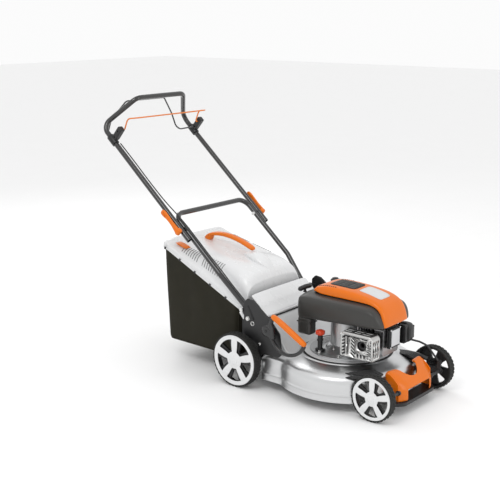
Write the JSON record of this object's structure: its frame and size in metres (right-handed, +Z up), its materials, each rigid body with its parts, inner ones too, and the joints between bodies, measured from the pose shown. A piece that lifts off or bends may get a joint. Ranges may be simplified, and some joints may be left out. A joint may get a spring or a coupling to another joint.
{
  "type": "petrol lawn mower",
  "caption": "Walk-behind petrol lawn mower: steel deck, upright-shaft engine, rear grass bag, folding handle, height lever and spoked wheels.",
  "frame": {"origin": "on the ground, below the middle of the mower's overall box", "axes": "+X towards the front of the mower, +Y towards the operator's left, +Z up"},
  "size_m": [1.4939, 0.572, 1.1302],
  "materials": {
    "deck_steel": "satin",
    "black_plastic": "fine grain",
    "tyre_rubber": "matt",
    "white_plastic": "gloss",
    "orange_plastic": "gloss",
    "red_plastic": "gloss",
    "bag_cloth": "woven",
    "handle_paint": "semi-gloss",
    "orange_wire": "semi-gloss",
    "cable_sheath": "smooth",
    "grey_plastic": "satin",
    "cast_aluminium": "cast",
    "pressed_steel": "satin",
    "dark_steel": "semi-gloss",
    "bright_steel": "zinc plated"
  },
  "bodies": {
    "chassis": {"deck_shell": "deck_steel", "rear_housing": "black_plastic", "axle_bushes": "dark_steel", "front_axle_cover": "black_plastic", "front_bumper": "orange_plastic", "lower_bumper": "black_plastic", "side_covers": "black_plastic", "frame_fasteners": "bright_steel", "lower_handle": "handle_paint", "control_cable": "cable_sheath", "crankcase": "cast_aluminium", "cylinder_block": "cast_aluminium", "cylinder_head": "cast_aluminium", "valve_cover": "cast_aluminium", "spark_plug": "bright_steel", "muffler": "dark_steel", "muffler_guard": "pressed_steel", "carburettor": "black_plastic", "air_filter_base": "black_plastic", "air_filter_cover": "black_plastic", "fuel_tank": "grey_plastic", "engine_cover": "orange_plastic", "cover_grille": "black_plastic", "oil_filler_tube": "black_plastic"},
    "rear_axle": {"rear_axle": "dark_steel", "gearbox": "cast_aluminium"},
    "front_axle": {"front_axle": "dark_steel"},
    "link_rod": {"link_rod": "dark_steel"},
    "height_lever": {"height_lever": "black_plastic", "lever_grip": "orange_plastic"},
    "crankshaft": {"crankshaft": "bright_steel", "flywheel": "cast_aluminium", "blade": "bright_steel"},
    "upper_handle": {"upper_handle": "handle_paint", "control_pods": "black_plastic", "clamp_bolts": "bright_steel"},
    "brake_bail": {"brake_bail": "handle_paint"},
    "drive_bail": {"drive_bail": "orange_wire"},
    "clamp_lever_right": {"clamp_lever_right": "orange_plastic"},
    "clamp_lever_left": {"clamp_lever_left": "orange_plastic"},
    "rear_flap": {"rear_flap": "white_plastic"},
    "grass_bag": {"bag_fabric": "bag_cloth", "bag_lid": "white_plastic", "bag_handle": "orange_plastic"},
    "level_indicator": {"level_indicator": "orange_plastic"},
    "fuel_cap": {"fuel_cap": "black_plastic"},
    "oil_cap": {"oil_cap": "red_plastic"},
    "starter_grip": {"starter_grip": "black_plastic"},
    "wheel_rear_right": {"tyre_rear_right": "tyre_rubber", "wheel_rear_right": "black_plastic", "wheel_cover_rear_right": "white_plastic"},
    "wheel_rear_left": {"tyre_rear_left": "tyre_rubber", "wheel_rear_left": "black_plastic", "wheel_cover_rear_left": "white_plastic"},
    "wheel_front_right": {"tyre_front_right": "tyre_rubber", "wheel_front_right": "black_plastic", "wheel_cover_front_right": "white_plastic"},
    "wheel_front_left": {"tyre_front_left": "tyre_rubber", "wheel_front_left": "black_plastic", "wheel_cover_front_left": "white_plastic"}
  },
  "joints": [
    {"name": "height_lever_swing", "type": "hinge", "parent": "chassis", "child": "height_lever", "pos_m": [0.1796, -0.254, 0.262], "axis": [0, -1, 0], "range_deg": [-15, 15]},
    {"name": "rear_axle_swing", "type": "hinge", "parent": "chassis", "child": "rear_axle", "pos_m": [0.0746, 0, 0.1125], "axis": [0, -1, 0], "range_deg": [-31, 31]},
    {"name": "front_axle_swing", "type": "hinge", "parent": "chassis", "child": "front_axle", "pos_m": [0.7026, 0, 0.09], "axis": [0, -1, 0], "range_deg": [-31, 31]},
    {"name": "link_rod_swing", "type": "hinge", "parent": "rear_axle", "child": "link_rod", "pos_m": [0.0746, 0.194, 0.1475], "axis": [0, 1, 0], "range_deg": [-31, 31]},
    {"name": "wheel_spin_rear_right", "type": "hinge", "parent": "rear_axle", "child": "wheel_rear_right", "pos_m": [0.0296, -0.261, 0.1125], "axis": [0, 1, 0], "continuous": true},
    {"name": "wheel_spin_rear_left", "type": "hinge", "parent": "rear_axle", "child": "wheel_rear_left", "pos_m": [0.0296, 0.261, 0.1125], "axis": [0, 1, 0], "continuous": true},
    {"name": "wheel_spin_front_right", "type": "hinge", "parent": "front_axle", "child": "wheel_front_right", "pos_m": [0.6576, -0.221, 0.09], "axis": [0, 1, 0], "continuous": true},
    {"name": "wheel_spin_front_left", "type": "hinge", "parent": "front_axle", "child": "wheel_front_left", "pos_m": [0.6576, 0.221, 0.09], "axis": [0, 1, 0], "continuous": true},
    {"name": "blade_spin", "type": "hinge", "parent": "chassis", "child": "crankshaft", "pos_m": [0.3896, 0, 0.2], "axis": [0, 0, 1], "continuous": true},
    {"name": "handle_fold", "type": "hinge", "parent": "chassis", "child": "upper_handle", "pos_m": [-0.2714, 0, 0.601], "axis": [0, 1, 0], "range_deg": [0, 122], "deforming": ["control_cable"]},
    {"name": "brake_bail_pull", "type": "hinge", "parent": "upper_handle", "child": "brake_bail", "pos_m": [-0.64735, 0, 0.95961], "axis": [0, 1, 0], "range_deg": [0, 24], "stiffness_Nm_per_rad": 0.6, "springref_deg": -34.38},
    {"name": "drive_bail_pull", "type": "hinge", "parent": "upper_handle", "child": "drive_bail", "pos_m": [-0.62504, 0, 0.98527], "axis": [0, -1, 0], "range_deg": [0, 24], "stiffness_Nm_per_rad": 0.4, "springref_deg": -34.38},
    {"name": "clamp_lever_open_right", "type": "hinge", "parent": "upper_handle", "child": "clamp_lever_right", "pos_m": [-0.2714, -0.275, 0.601], "axis": [0.6561, 0, 0.7547], "range_deg": [0, 95]},
    {"name": "clamp_lever_open_left", "type": "hinge", "parent": "upper_handle", "child": "clamp_lever_left", "pos_m": [-0.2714, 0.275, 0.601], "axis": [-0.6561, 0, -0.7547], "range_deg": [0, 95]},
    {"name": "flap_open", "type": "hinge", "parent": "chassis", "child": "rear_flap", "pos_m": [0.1216, 0, 0.293], "axis": [0, 1, 0], "range_deg": [0, 65]},
    {"name": "bag_lift_off", "type": "slide", "parent": "chassis", "child": "grass_bag", "axis": [-0.9701, 0, 0.2425], "range_m": [0, 0.6]},
    {"name": "level_indicator_lift", "type": "hinge", "parent": "grass_bag", "child": "level_indicator", "pos_m": [-0.3664, -0.163, 0.502], "axis": [0, -1, 0], "range_deg": [0, 30]},
    {"name": "fuel_cap_turn", "type": "hinge", "parent": "chassis", "child": "fuel_cap", "pos_m": [0.2576, 0.098, 0.405], "axis": [0, 0, 1], "range_deg": [0, 90]},
    {"name": "oil_cap_turn", "type": "hinge", "parent": "chassis", "child": "oil_cap", "pos_m": [0.3296, -0.104, 0.24], "axis": [0, 0, 1], "range_deg": [0, 90]},
    {"name": "starter_pull", "type": "slide", "parent": "chassis", "child": "starter_grip", "axis": [-0.7547, 0, 0.6561], "range_m": [0, 0.45]}
  ],
  "couplings": [
    {"joint": "rear_axle_swing", "follows": "height_lever_swing", "ratio": 2},
    {"joint": "front_axle_swing", "follows": "height_lever_swing", "ratio": 2},
    {"joint": "link_rod_swing", "follows": "height_lever_swing", "ratio": 2}
  ]
}
